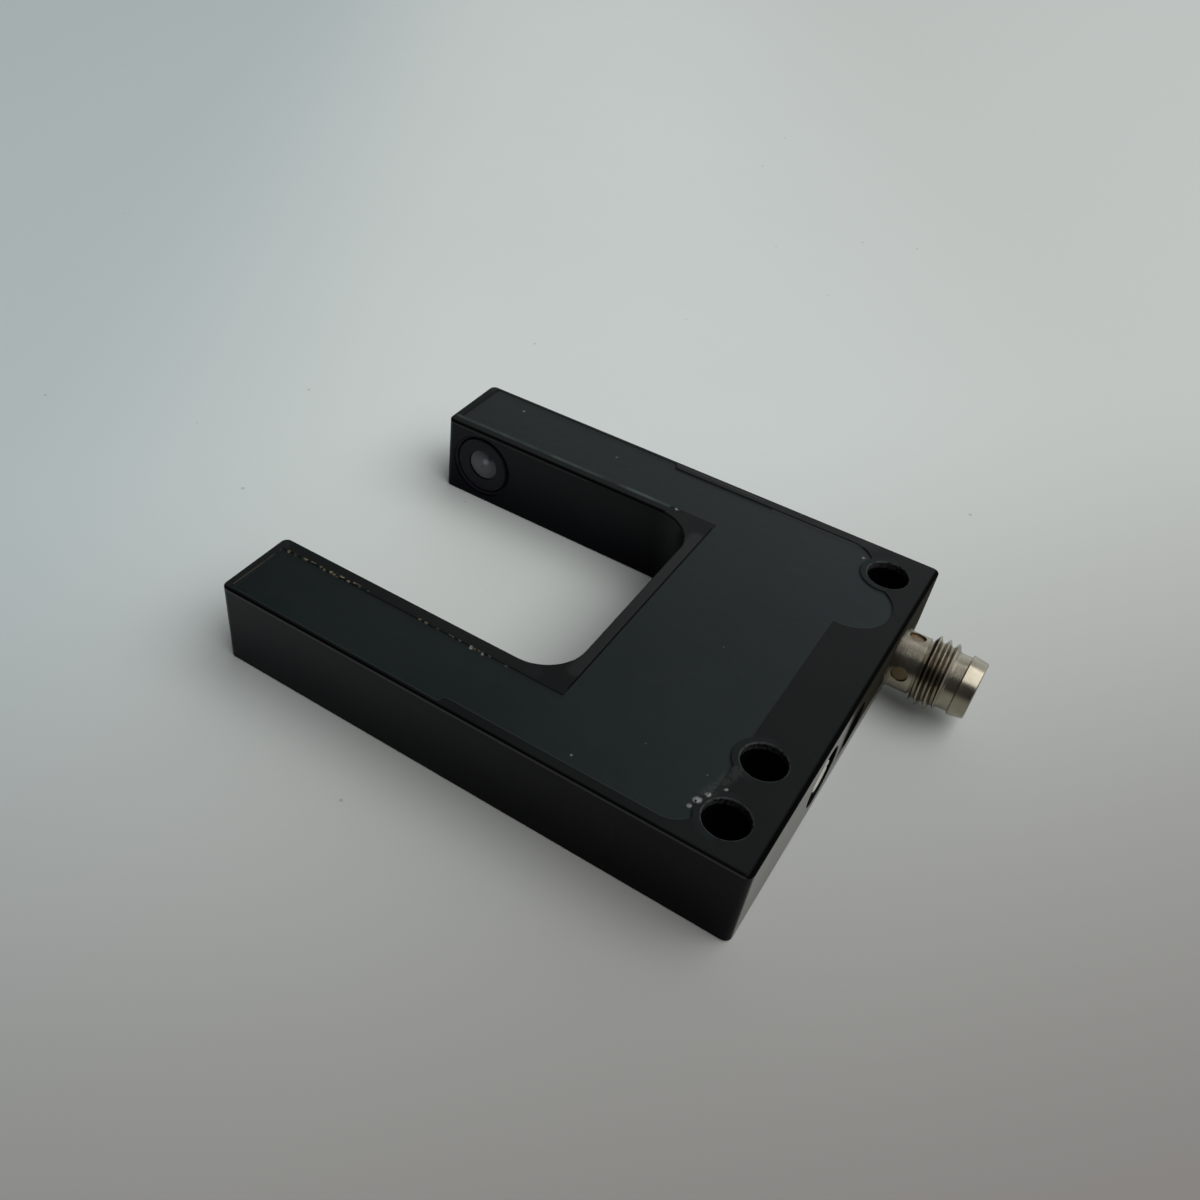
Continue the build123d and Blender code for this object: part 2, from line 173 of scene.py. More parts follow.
def noise_of(tree, vector, scale, detail=2.0, roughness=0.5):
    """Outputs of a noise texture: a value, then a colour."""
    sockets = {"Vector": vector, "Scale": scale, "Detail": detail, "Roughness": roughness}
    return add(tree, "ShaderNodeTexNoise", sockets).outputs


def cells_of(tree, vector, scale, **settings):
    """Outputs of a cell texture."""
    return add(tree, "ShaderNodeTexVoronoi", {"Vector": vector, "Scale": scale}, **settings).outputs


def blend(tree, mask, under, over):
    """Mixes two colours by a mask."""
    mix = add(tree, "ShaderNodeMix", {0: mask}, data_type="RGBA")
    for socket, value in ((mix.inputs[6], under), (mix.inputs[7], over)):
        if isinstance(value, bpy.types.NodeSocket):
            tree.links.new(value, socket)
        else:
            socket.default_value = value
    return mix.outputs[2]


def layered(tree, ground, *coats):
    """Lays colours over a ground one after the other, each by its own mask."""
    for mask, colour in coats:
        ground = blend(tree, mask, ground, colour)
    return ground


def start_group(name, values, outputs):
    """New node group with a Vector input, named number inputs and number outputs."""
    group = bpy.data.node_groups.new(name, "ShaderNodeTree")
    group.interface.new_socket("Vector", in_out="INPUT", socket_type="NodeSocketVector")
    for socket, value in values.items():
        entry = group.interface.new_socket(socket, in_out="INPUT", socket_type="NodeSocketFloat")
        entry.default_value = value
    for socket in outputs:
        group.interface.new_socket(socket, in_out="OUTPUT", socket_type="NodeSocketFloat")
    return group, group.nodes.new("NodeGroupInput").outputs, group.nodes.new("NodeGroupOutput").inputs


def use(tree, group, vector, **values):
    """Places a node group with its own values and gives back its outputs."""
    return add(tree, "ShaderNodeGroup", {"Vector": vector, **values}, node_tree=group).outputs


print("helpers ready")

# %% [markdown]
# Four effects turn up on more than one surface. Moulded plastic has a fine pebbled grain. Old
# surfaces drift a little in tone. Handling leaves hair-thin scratches, and dust settles in specks.
# Each is a node group, so that every material can ask for its own amount.

# %% Group: fine grain
def per_metre(tree, size):
    """How often a pattern repeats in a metre, from its size in millimetres."""
    return sum_of(tree, "DIVIDE", 1.0 / MM, size)


grain_group, given, result = start_group("fine_grain", {"Size": 0.3}, ["Height"])
repeats = per_metre(grain_group, given["Size"])
pebbles = cells_of(grain_group, given["Vector"], repeats)["Distance"]
haze = noise_of(grain_group, given["Vector"], repeats, detail=1.0)[0]
grain_group.links.new(sum_of(grain_group, "ADD", pebbles, haze), result["Height"])
print("made", grain_group.name)

# %% Group: slow drift in tone
DRIFT_LOW, DRIFT_HIGH = 0.3, 0.7

drift_group, given, result = start_group("tone_drift", {"Size": 8.0}, ["Value"])
repeats = per_metre(drift_group, given["Size"])
cloud = noise_of(drift_group, given["Vector"], repeats, detail=4.0, roughness=0.6)[0]
drift_group.links.new(ramp(drift_group, cloud, DRIFT_LOW, DRIFT_HIGH), result["Value"])
print("made", drift_group.name)

# %% Group: hair-thin scratches
SCRATCH_STRETCH = (0.08, 1.0, 1.0)
SCRATCH_WAVER = (0.0006, 0.0006, 0.0006)
SCRATCH_WIDTH = 0.03
SURELY_SCRATCHED = 0.9

scratch_values = {"Turn": 0.3, "Spacing": 3.0, "Amount": 0.5}
scratch_group, given, result = start_group("scratches", scratch_values, ["Mask"])
turned = add(scratch_group, "ShaderNodeVectorRotate", {"Vector": given["Vector"], "Angle": given["Turn"]},
             rotation_type="Z_AXIS").outputs[0]
repeats = per_metre(scratch_group, given["Spacing"])
along = vector_of(scratch_group, "MULTIPLY", turned, SCRATCH_STRETCH)
waver = noise_of(scratch_group, turned, repeats)[1]
bent = vector_of(scratch_group, "MULTIPLY_ADD", waver, SCRATCH_WAVER, along)
cells = cells_of(scratch_group, bent, repeats, feature="DISTANCE_TO_EDGE")
thin = ramp(scratch_group, cells[0], SCRATCH_WIDTH, 0.0)
luck = noise_of(scratch_group, turned, repeats, detail=1.0)[0]
needed = sum_of(scratch_group, "SUBTRACT", 1.0, given["Amount"])
kept = ramp(scratch_group, luck, needed, SURELY_SCRATCHED)
scratch_group.links.new(both(scratch_group, thin, kept), result["Mask"])
print("made", scratch_group.name)

# %% Group: specks
SPECK_SOFTNESS = 0.3

speck_values = {"Spacing": 2.0, "Size": 0.07, "Amount": 0.3}
speck_group, given, result = start_group("specks", speck_values, ["Mask"])
cells = cells_of(speck_group, given["Vector"], per_metre(speck_group, given["Spacing"]))
luck = add(speck_group, "ShaderNodeSeparateColor", {0: cells["Color"]}).outputs[0]
needed = sum_of(speck_group, "SUBTRACT", 1.0, given["Amount"])
reach = ramp(speck_group, luck, needed, 1.0, 0.0, given["Size"])
inside = sum_of(speck_group, "SUBTRACT", reach, cells["Distance"])
soft_edge = sum_of(speck_group, "MULTIPLY", given["Size"], SPECK_SOFTNESS)
speck_group.links.new(ramp(speck_group, inside, 0.0, soft_edge), result["Mask"])
print("made", speck_group.name)

# %% [markdown]
# Each material starts the same way: a Principled shader, and the piece's own coordinates. Bump
# heights are in metres, so a height of a few hundredths of a millimetre is a real grain.

# %% Start of a material
def start_material(name, roughness=0.5, specular=0.5, metallic=0.0, **constants):
    """New material. Gives it back with its tree, its shader and the piece's coordinates."""
    material = bpy.data.materials.new(name)
    material.use_nodes = True
    tree = material.node_tree
    shader = tree.nodes["Principled BSDF"]
    shader.inputs["Roughness"].default_value = roughness
    shader.inputs["Specular IOR Level"].default_value = specular
    shader.inputs["Metallic"].default_value = metallic
    for socket, value in constants.items():
        shader.inputs[socket.replace("_", " ")].default_value = value
    place = add(tree, "ShaderNodeTexCoord").outputs["Object"]
    return material, tree, shader, place


def roughen(tree, shader, height, depth):
    """Bump from a height between 0 and 1 that stands for a depth in millimetres."""
    bump = add(tree, "ShaderNodeBump", {"Height": height, "Distance": depth * MM, "Strength": 1.0})
    tree.links.new(bump.outputs[0], shader.inputs["Normal"])


def dress(names, material):
    """Gives a material to CAD nodes."""
    for name in names:
        nodes[name].data.materials.clear()
        nodes[name].data.materials.append(material)
    print(material.name, "on", ", ".join(names))


print("material helpers ready")

# %% [markdown]
# Wear sits at certain places, so a few masks are drawn in space. A line has a width, a spot and a
# ring have a radius, and noise breaks them up, so that no edge looks ruled. What is round about the
# lenses is told by its distance from the line through both. Sizes are in millimetres.

# %% Masks that lie at one place
def distance_to(tree, place, centre):
    """Distance in metres from a point in millimetres."""
    return vector_of(tree, "DISTANCE", place, Vector(centre) * MM, output="Value")


def fading(tree, away, width):
    """Mask that is full at a third of a width in millimetres and gone at all of it."""
    return ramp(tree, away, width * MM, width * MM / 3)


def line_mask(tree, place, start, end, width):
    """Soft mask round a straight line between two points."""
    first, last = Vector(start) * MM, Vector(end) * MM
    ahead = (last - first).normalized()
    offset = vector_of(tree, "SUBTRACT", place, first)
    along = vector_of(tree, "DOT_PRODUCT", offset, ahead, output="Value")
    along = sum_of(tree, "MINIMUM", sum_of(tree, "MAXIMUM", along, 0.0), (last - first).length)
    nearest = vector_of(tree, "SCALE", ahead, Scale=along)
    return fading(tree, vector_of(tree, "DISTANCE", offset, nearest, output="Value"), width)


def spot_mask(tree, place, centre, radius):
    """Soft mask round one point."""
    return fading(tree, distance_to(tree, place, centre), radius)


def ring_mask(tree, place, centre, radius, width):
    """Soft mask round a circle that lies flat."""
    gap = sum_of(tree, "SUBTRACT", distance_to(tree, place, centre), radius * MM)
    return fading(tree, sum_of(tree, "ABSOLUTE", gap), width)


def broken(tree, place, size, start, end):
    """Noise that keeps a part of a mask and drops the rest."""
    return ramp(tree, noise_of(tree, place, 1 / (size * MM))[0], start, end)


def from_optical_axis(tree, place, aside=0.0, above=0.0):
    """Distance in metres from the line through both lenses, or from one moved in millimetres."""
    centre = (LENS_X / MM + aside, 0.0, LENS_Z / MM + above)
    return distance_to(tree, vector_of(tree, "MULTIPLY", place, (1.0, 0.0, 1.0)), centre)


print("mask helpers ready")

# %% [markdown]
# The rim beside the resin has lost its skin at two stretches of the near arm, where a row of tan
# dots shows. A fine tan line runs across the arm's end. Screws have knocked small pale flakes off
# beside the outer hole and left a faint smear between the two holes. A faint pale ring at the holes'
# edges and pale lines along four top edges are painted highlights. The rim and the resin share these
# marks, so they are one group with a mask for each colour.

# %% Places of the marks
TOP_MM = TOP_Z / MM
TAN_DOTS = (((-33.3, -16.7), (-22.0, -16.35), 0.28), ((-15.2, -16.6), (-4.4, -16.7), 0.17))
DOT_SPACING = 0.62
END_LINE, END_LINE_TAN = ((-33.5, -24.0), (-33.4, -16.8), 0.1), 0.3
SMEAR, SMEAR_PALE = ((18.4, -19.0), (19.6, -15.0), 0.9), 0.05
FLAKES = (
    (18.06, -20.11, 0.55), (17.78, -21.08, 0.35), (18.56, -19.05, 0.4), (19.6, -17.57, 0.3),
    (17.54, -16.99, 0.2), (17.82, 21.81, 0.3), (-2.9, 16.42, 0.3), (-8.73, -16.68, 0.3),
    (-7.35, -16.76, 0.25), (-28.04, 22.6, 0.3), (-13.65, 21.28, 0.25), (6.45, -22.42, 0.25),
    (11.22, -17.08, 0.2), (11.44, -0.92, 0.2))
HOLES, HOLE_RADIUS = ((21.1, -20.5), (21.1, -12.5), (21.1, 20.5)), 2.25
# A faint pale ring at each hole's edge is a painted highlight.
HOLE_RING = (HOLE_RADIUS + 0.05, 0.13)
HOLE_RING_HIGHLIGHT = 0.12
# Pale lines along four top edges are painted highlights.
HIGHLIGHT_LINES = (
    ((-34.0, 15.0, 9.6), (-14.0, 15.0, 9.6), 0.08, 0.12),
    ((-34.0, -25.0, 9.75), (25.0, -25.0, 9.75), 0.2, 0.17),
    ((-33.0, 24.4, 9.9), (4.5, 24.4, 9.9), 0.2, 0.09),
    ((6.0, 23.55, 9.9), (17.0, 23.55, 9.9), 0.2, 0.08))
print(len(FLAKES), "flakes,", len(TAN_DOTS), "rows of dots,", len(HIGHLIGHT_LINES), "rubbed lines")

# %% Group: marks of use and painted highlights
marks_group, given, result = start_group("marks_and_highlights", {}, ["Tan", "Pale"])
here = given["Vector"]
cells = cells_of(marks_group, here, 1 / (DOT_SPACING * MM), voronoi_dimensions="2D")
dots = ramp(marks_group, cells["Distance"], 0.36, 0.26)
ragged = broken(marks_group, here, 0.35, 0.3, 0.55)
gaps = broken(marks_group, here, 1.5, 0.35, 0.5)


def laid(start, end, width):
    """Line mask on the top face."""
    return line_mask(marks_group, here, (*start, TOP_MM), (*end, TOP_MM), width)


tan = both(marks_group, both(marks_group, laid(*END_LINE), gaps), END_LINE_TAN)
for row in TAN_DOTS:
    tan = either(marks_group, tan, both(marks_group, both(marks_group, laid(*row), dots), gaps))
pale = both(marks_group, laid(*SMEAR), SMEAR_PALE)
for x, y, radius in FLAKES:
    pale = either(marks_group, pale, spot_mask(marks_group, here, (x, y, TOP_MM), radius))
# Painted highlight round each hole's edge.
for hole in HOLES:
    edge = ring_mask(marks_group, here, (*hole, TOP_MM), *HOLE_RING)
    pale = either(marks_group, pale, both(marks_group, edge, HOLE_RING_HIGHLIGHT))
# Painted highlights along the top edges.
polish_and_highlight = 0.0
for start, end, width, strength in HIGHLIGHT_LINES:
    edge = line_mask(marks_group, here, start, end, width)
    polish_and_highlight = either(marks_group, polish_and_highlight, both(marks_group, edge, strength))
marks_group.links.new(tan, result["Tan"])
marks_group.links.new(either(marks_group, both(marks_group, pale, ragged), polish_and_highlight), result["Pale"])
print("made", marks_group.name, "with", len(marks_group.nodes), "nodes")

# %% [markdown]
# The housing is black glass-filled plastic, nearly black all over and a little green on top. Its
# colour is laid on zone by zone, so first each zone gets a mask. Round the holes a film of resin
# lies on the plastic, and along the far arm a light band is a painted highlight. Three long edges,
# the upper back edge, the insides of the holes and a patch beside the plug are painted deep black
# as shade, and have no gloss.

# %% Housing plastic: its zones
BACK_MM = BACK_X / MM
BEZEL_MM = BEZEL_RADIUS / MM
# A light band along the far arm is a painted highlight.
HIGHLIGHT_BAND_LINE = ((-33.8, 16.4, 10.0), (-4.0, 16.4, 10.0), 0.4)
FILM_RADIUS, FILM_WIDTH, FILM_SIDE = 2.65, 0.6, 0.5
TOP_SKIN, BACK_SKIN = (TOP_MM - 0.15, TOP_MM - 0.05), (BACK_MM - 0.1, BACK_MM)
HOLE_WALL = (HOLE_RADIUS + 0.15, HOLE_RADIUS + 0.05)
# Three long edges are painted deep black, as shade.
PAINTED_SHADE_EDGES = (
    ((-34.2, -24.95, 10.0), (25.5, -24.95, 10.0), 0.38),
    ((-34.0, 15.15, 10.0), (-4.0, 15.15, 10.0), 0.34),
    ((1.93, -15.6, 9.97), (1.93, 15.6, 9.97), 0.14))
# The upper back edge is painted deep black, as shade.
UPPER_BACK_EDGE = ((25.4, -24.9, 10.0), (25.4, 24.9, 10.0), 0.45)
# Beside the plug the back face is painted black, as shade.
PATCH_ACROSS, PATCH_UP = (-3.5, 0.5), (1.6, 3.4)
# The wall round each lens seat is painted lighter, as a highlight.
SEAT_EDGE = (BEZEL_MM + 0.35, BEZEL_MM + 0.25)
SEAT_FROM_MIDDLE = (17.4, 17.2)


def bore_mask(tree, place, x, y):
    """Soft mask inside an upright hole."""
    flat = vector_of(tree, "MULTIPLY", place, (1.0, 1.0, 0.0))
    return between(tree, distance_to(tree, flat, (x, y, 0.0)), *HOLE_WALL)


plastic, tree, shader, place = start_material("housing_plastic", specular=0.06, Coat_Roughness=0.38)
split = add(tree, "ShaderNodeSeparateXYZ", {0: place}).outputs
top = between(tree, split["Z"], *TOP_SKIN)
below = sum_of(tree, "SUBTRACT", 1.0, top)
back = between(tree, split["X"], *BACK_SKIN)
beside_plug = both(tree, between(tree, split["Y"], *PATCH_ACROSS), between(tree, split["Z"], *PATCH_UP))
patch = both(tree, back, beside_plug)
matt_painted_shade = either(tree, line_mask(tree, place, *UPPER_BACK_EDGE), patch)
films = []
for x, y in HOLES:
    # Inside each hole the wall is painted deep black, as shade.
    matt_painted_shade = either(tree, matt_painted_shade, both(tree, below, bore_mask(tree, place, x, y)))
    ring = ring_mask(tree, place, (x, y, TOP_MM), FILM_RADIUS, FILM_WIDTH)
    left = both(tree, top, between(tree, split["X"], x + FILM_SIDE, x - FILM_SIDE))
    films.append(both(tree, ring, left))
highlight_band = both(tree, line_mask(tree, place, *HIGHLIGHT_BAND_LINE), broken(tree, place, 4.0, 0.2, 0.7))
painted_shade_lines = [line_mask(tree, place, *line) for line in PAINTED_SHADE_EDGES]
painted_shade_zones = matt_painted_shade
for line in painted_shade_lines:
    painted_shade_zones = either(tree, painted_shade_zones, line)
# Painted highlight on the wall round each lens seat.
near_lens = between(tree, from_optical_axis(tree, place), *SEAT_EDGE)
inward = between(tree, sum_of(tree, "ABSOLUTE", split["Y"]), *SEAT_FROM_MIDDLE)
seat = both(tree, near_lens, inward)
print("zones of", plastic.name, "use", len(tree.nodes), "nodes")

# %% [markdown]
# Now the colours. Over the ground lie the painted highlight band and the films, the painted
# highlight on the wall of the lens seats, the deep black zones of painted shade, and then what age
# has added. The back face is dusty and carries a painted sheen, with faint lines along it, and
# everywhere there are a few scratches and specks. The marks of use and the painted highlights come
# last.

# %% Housing plastic: tone
DEEP_BLACK = shade(1, 1, 1)
TAN, PALE = shade(112, 104, 82), shade(150, 152, 150)
BACK_LINES = (1.0, 0.08, 1.0)
# The back face's pale streaks are dust and a painted sheen.
LINE_DUST_AND_SHEEN, PLAIN_DUST_AND_SHEEN, PATCH_DUST_AND_SHEEN = 0.45, 0.4, 0.25
SCRATCH_SHOW, SPECK_SHOW = 0.12, 0.35

drift = use(tree, drift_group, place, Size=9.0)["Value"]
dust = use(tree, speck_group, place, Spacing=2.6, Amount=0.1)["Mask"]
lines = use(tree, scratch_group, place, Turn=0.5, Spacing=4.0, Amount=0.4)["Mask"]
marks = use(tree, marks_group, place)
side_tone = blend(tree, drift, shade(5, 5, 12), shade(9, 9, 16))
top_tone = blend(tree, drift, shade(5, 10, 9), shade(9, 14, 13))
ground = layered(tree, blend(tree, top, side_tone, top_tone),
                 (highlight_band, shade(64, 74, 73)),
                 *[(film, shade(15, 21, 20)) for film in films],
                 (seat, shade(36, 35, 42)), (matt_painted_shade, DEEP_BLACK),
                 *[(line, DEEP_BLACK) for line in painted_shade_lines])
# Pale streaks on the back face: dust and painted sheen.
drawn_out = vector_of(tree, "MULTIPLY", place, BACK_LINES)
level = sum_of(tree, "MULTIPLY_ADD", broken(tree, drawn_out, 0.3, 0.35, 0.65), LINE_DUST_AND_SHEEN, PLAIN_DUST_AND_SHEEN)
streaks = both(tree, sum_of(tree, "SUBTRACT", back, painted_shade_zones), level)
streaks = either(tree, streaks, both(tree, patch, PATCH_DUST_AND_SHEEN))
worn = layered(tree, ground,
               (streaks, shade(76, 71, 54)), (both(tree, lines, SCRATCH_SHOW), shade(90, 90, 88)),
               (both(tree, dust, SPECK_SHOW), shade(120, 118, 112)),
               (marks["Tan"], TAN), (marks["Pale"], PALE))
tree.links.new(worn, shader.inputs["Base Color"])
print("tone of", plastic.name, "brings it to", len(tree.nodes), "nodes")

# %% [markdown]
# What the eye sees of such a dark plastic is mostly its satin gloss. So the base reflects little,
# and a thin coat stands for the polish that hands give: full on the top, fading down the sides,
# stronger on the narrow rims, toward the tip of the near side and on the back face. Where the shade
# is painted deep black, there is no polish.

# %% Housing plastic: gloss
POLISH_START = 1.0
TOP_POLISH, BACK_POLISH, TIP_POLISH = 0.2, 0.95, 0.11
RIMS = (((1.3, -13.0), (1.3, 13.0), 0.3), ((-33.9, -24.5), (-33.9, -16.0), 0.3),
        ((-34.0, 24.6), (18.0, 24.4), 0.15), ((-33.0, -15.6), (-2.0, -15.6), 0.12))
RIM_WIDTH = 1.3
NEAR_SIDE, TOWARD_TIP = (-24.7, -24.9), (20.0, -36.0)
MATT_ROUGHNESS, SATIN_ROUGHNESS = 0.9, (0.34, 0.42)

polish = both(tree, between(tree, split["Z"], POLISH_START, TOP_MM), TOP_POLISH)
polish = sum_of(tree, "MULTIPLY_ADD", back, BACK_POLISH, polish)
tip_side = both(tree, between(tree, split["Y"], *NEAR_SIDE), between(tree, split["X"], *TOWARD_TIP))
polish = sum_of(tree, "MULTIPLY_ADD", tip_side, TIP_POLISH, polish)
for start, end, amount in RIMS:
    rim = line_mask(tree, place, (*start, TOP_MM), (*end, TOP_MM), RIM_WIDTH)
    polish = sum_of(tree, "MULTIPLY_ADD", both(tree, rim, top), amount, polish)
# No polish where the shade is painted deep black.
polish_and_highlight = both(tree, polish, sum_of(tree, "SUBTRACT", 1.0, painted_shade_zones))
tree.links.new(polish_and_highlight, shader.inputs["Coat Weight"])
satin = ramp(tree, drift, 0.0, 1.0, *SATIN_ROUGHNESS)
tree.links.new(either(tree, both(tree, matt_painted_shade, MATT_ROUGHNESS), satin), shader.inputs["Roughness"])
roughen(tree, shader, use(tree, grain_group, place, Size=0.25)["Height"], 0.004)
dress(["housing"], plastic)

# %% [markdown]
# Two pieces need a finer mesh than the model's: the resin and the plug's shell. Each is shaped as a
# bmesh. When it is done, it takes the place of the model's piece and rides on the same body.

# %% Helpers for pieces
HAIR = 0.001


def copy_of_node(name):
    """A closed bmesh from a CAD node, with its doubled points merged."""
    shape = bmesh.new()
    shape.from_mesh(nodes[name].data)
    bmesh.ops.remove_doubles(shape, verts=shape.verts, dist=HAIR * MM)
    return shape


def finish_piece(shape, name, body, replaced, material, smooth_angle=30):
    """Turns a bmesh into a piece of the object that rides on a body."""
    mesh = bpy.data.meshes.new(name)
    shape.to_mesh(mesh)
    shape.free()
    mesh.shade_smooth()
    mesh.set_sharp_from_angle(angle=math.radians(smooth_angle))
    mesh.materials.append(material)
    piece = bpy.data.objects.new(name, mesh)
    bpy.context.scene.collection.objects.link(piece)
    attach(piece, body)
    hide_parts(replaced)
    print(name, "has", len(mesh.polygons), "faces")


print("piece helpers ready")

# %% [markdown]
# The resin is a smooth, hard, blackish green that mirrors the window a little more than the housing
# does. Its tint in the reflection is a constant of the shader, and its duller rim follows the
# height at which it has crept up the walls.

# %% Potting resin
CREEP_DULL, CREEP_ROUGHNESS = 0.03, 0.25

resin, tree, shader, place = start_material("potting_resin", specular=0.31,
                                            Specular_Tint=(0.84, 0.96, 1.0, 1.0))
drift = use(tree, drift_group, place, Size=14.0)["Value"]
dust = use(tree, speck_group, place, Spacing=3.2, Size=0.05, Amount=0.12)["Mask"]
lines = use(tree, scratch_group, place, Turn=-0.35, Spacing=5.0, Amount=0.45)["Mask"]
marks = use(tree, marks_group, place)
worn = layered(tree, blend(tree, drift, shade(4, 12, 12), shade(9, 17, 17)),
               (both(tree, lines, 0.08), shade(84, 90, 88)),
               (both(tree, dust, 0.6), shade(128, 130, 124)),
               (marks["Tan"], TAN), (marks["Pale"], PALE))
tree.links.new(worn, shader.inputs["Base Color"])
height = add(tree, "ShaderNodeSeparateXYZ", {0: place}).outputs["Z"]
creep = ramp(tree, height, RESIN_Z, RESIN_Z + CREEP_DULL * MM, 0.0, CREEP_ROUGHNESS)
satin = ramp(tree, drift, 0.0, 1.0, 0.33, 0.4)
tree.links.new(sum_of(tree, "ADD", creep, satin), shader.inputs["Roughness"])
roughen(tree, shader, use(tree, grain_group, place, Size=1.2)["Height"], 0.008)
print("made", resin.name)

# %% [markdown]
# The resin was poured into the pocket and crept up its walls before it set. So its surface is a
# little hollow: it rises over the last third of a millimetre. The model's resin has a flat top. Its
# small triangles are dissolved into one face, and two insets give the rings that the rise needs. A
# third, narrow one keeps the shading of the slope from running out over the flat middle. Very
# short edges are merged first, because an inset wider than an edge is long would fold over.

# %% Resin with a creep at its walls
CREEP_RINGS = ((0.10, 0.02), (0.14, 0.0), (0.03, 0.0))
CREEP_HEIGHT = 0.06
SHORTEST_EDGE = 0.06

shape = copy_of_node("potting_compound")
level_top = RESIN_Z - HAIR * MM
top_faces = [face for face in shape.faces if min(vert.co.z for vert in face.verts) > level_top]
top = bmesh.ops.dissolve_faces(shape, faces=top_faces)["region"]
bmesh.ops.remove_doubles(shape, verts=list(top[0].verts), dist=SHORTEST_EDGE * MM)
outermost = []
for width, height in CREEP_RINGS:
    ring = bmesh.ops.inset_region(shape, faces=top, thickness=width * MM, depth=0.0, use_boundary=True,
                                  use_even_offset=True)["faces"]
    inner = {vert for face in top for vert in face.verts}
    outermost = outermost or {vert for face in ring for vert in face.verts} - inner
    for vert in inner:
        vert.co.z = RESIN_Z + height * MM
for vert in outermost:
    vert.co.z = RESIN_Z + CREEP_HEIGHT * MM
finish_piece(shape, "resin_filling", "sensor", "potting_compound", resin)

# %% [markdown]
# The plug's shell is turned from brass and nickel plated. Its outline is drawn once as pairs of
# distance from the back face and radius, in millimetres. Behind the thread lies a barrel with four
# dimples, where a punch has staked the shell to the insert.

# %% Values of the plug
BARREL_RADIUS = 3.25
THREAD_START, THREAD_END = 3.0, 5.7
THREAD_ROOT, THREAD_CREST = 3.32, 3.93
THREAD_PITCH = 1.0
THREAD_CREST_WIDTH = 0.14
THREAD_FLANK_SHARE = 0.44
RIDGE_SINK, SLEEVE_SINK = 0.1, 0.05
THREAD_CHAMFER = 0.35
THREAD_CLEAR = 0.02
SHELL_OUTLINE = (
    (-3.0, 2.7), (-1.0, 2.7), (-1.0, BARREL_RADIUS), (0.0, BARREL_RADIUS), (0.0, 3.35), (0.35, 3.35),
    (0.35, BARREL_RADIUS), (2.7, BARREL_RADIUS), (2.7, 3.05), (THREAD_START, 3.05),
    (THREAD_START, THREAD_ROOT), (THREAD_END, THREAD_ROOT), (THREAD_END + 0.25, 3.15), (7.05, 3.15),
    (7.05, 3.31), (7.17, 3.43), (8.68, 3.2), (8.8, 3.08), (8.8, 2.65), (0.2, 2.65), (0.2, 2.2),
    (-3.0, 2.2))
DIMPLE_FROM_BACK, DIMPLE_RADIUS, DIMPLE_DEPTH = 1.35, 0.9, 0.3
DIMPLE_ANGLES = (10, 100, 190, 280)
PIN_LENGTH, PIN_TAPER, PIN_SEGMENTS = 1.0, (-0.06, 0.14), 40
ROUND_STEPS = 96
PLUG_ORIGIN = Vector((BACK_X, PLUG_Y, PLUG_Z))
print("thread with", round((THREAD_END - THREAD_START) / THREAD_PITCH, 1), "turns")

# %% [markdown]
# A full spin of the outline about the plug's axis makes the body. The thread is a small ridge with
# a slanted section. The same spin, with a step forward each time, winds it into a helix, and a
# chamfered sleeve trims its two ends as a lathe does. The ridge is turned by half a step and the
# sleeve is a hair shorter than the thread, because a join goes wrong where faces or edges of two
# shapes lie exactly on each other.

# %% Turning and winding
def at_radius(from_back, radius):
    """Point straight above the plug's axis."""
    return PLUG_ORIGIN + Vector((from_back, 0, radius)) * MM


def closed_loop(shape, points):
    """Vertices and edges through some points and back to the first."""
    verts = [shape.verts.new(point) for point in points]
    edges = [shape.edges.new((verts[index - 1], verts[index])) for index in range(len(verts))]
    return verts, edges


def spun(points):
    """Ring that a closed outline sweeps about the plug's axis."""
    shape = bmesh.new()
    verts, edges = closed_loop(shape, points)
    bmesh.ops.spin(shape, geom=verts + edges, cent=PLUG_ORIGIN, axis=(1, 0, 0), angle=math.tau,
                   steps=ROUND_STEPS, use_merge=True)
    bmesh.ops.recalc_face_normals(shape, faces=shape.faces)
    return shape


def helix_ridge():
    """Ridge of the thread, longer than the thread at both ends."""
    turns = math.ceil((THREAD_END - THREAD_START) / THREAD_PITCH) + 1
    begin = THREAD_START - THREAD_PITCH / 2
    foot = THREAD_ROOT - RIDGE_SINK
    half, flat = THREAD_PITCH * THREAD_FLANK_SHARE, THREAD_CREST_WIDTH / 2
    section = ((begin - half, foot), (begin - flat, THREAD_CREST),
               (begin + flat, THREAD_CREST), (begin + half, foot))
    shape = bmesh.new()
    verts, edges = closed_loop(shape, [at_radius(*station) for station in section])
    shape.faces.new(verts)
    steps = turns * ROUND_STEPS
    step = Vector((THREAD_PITCH * MM / ROUND_STEPS, 0, 0))
    swept = bmesh.ops.spin(shape, geom=verts + edges, cent=PLUG_ORIGIN, axis=(1, 0, 0), dvec=step,
                           angle=math.tau * turns, steps=steps, use_merge=False)
    last = [item for item in swept["geom_last"] if isinstance(item, bmesh.types.BMVert)]
    bmesh.ops.contextual_create(shape, geom=last)
    half_step = Matrix.Rotation(math.pi / ROUND_STEPS, 3, "X")
    bmesh.ops.rotate(shape, verts=shape.verts, cent=PLUG_ORIGIN, matrix=half_step)
    bmesh.ops.recalc_face_normals(shape, faces=shape.faces)
    return shape


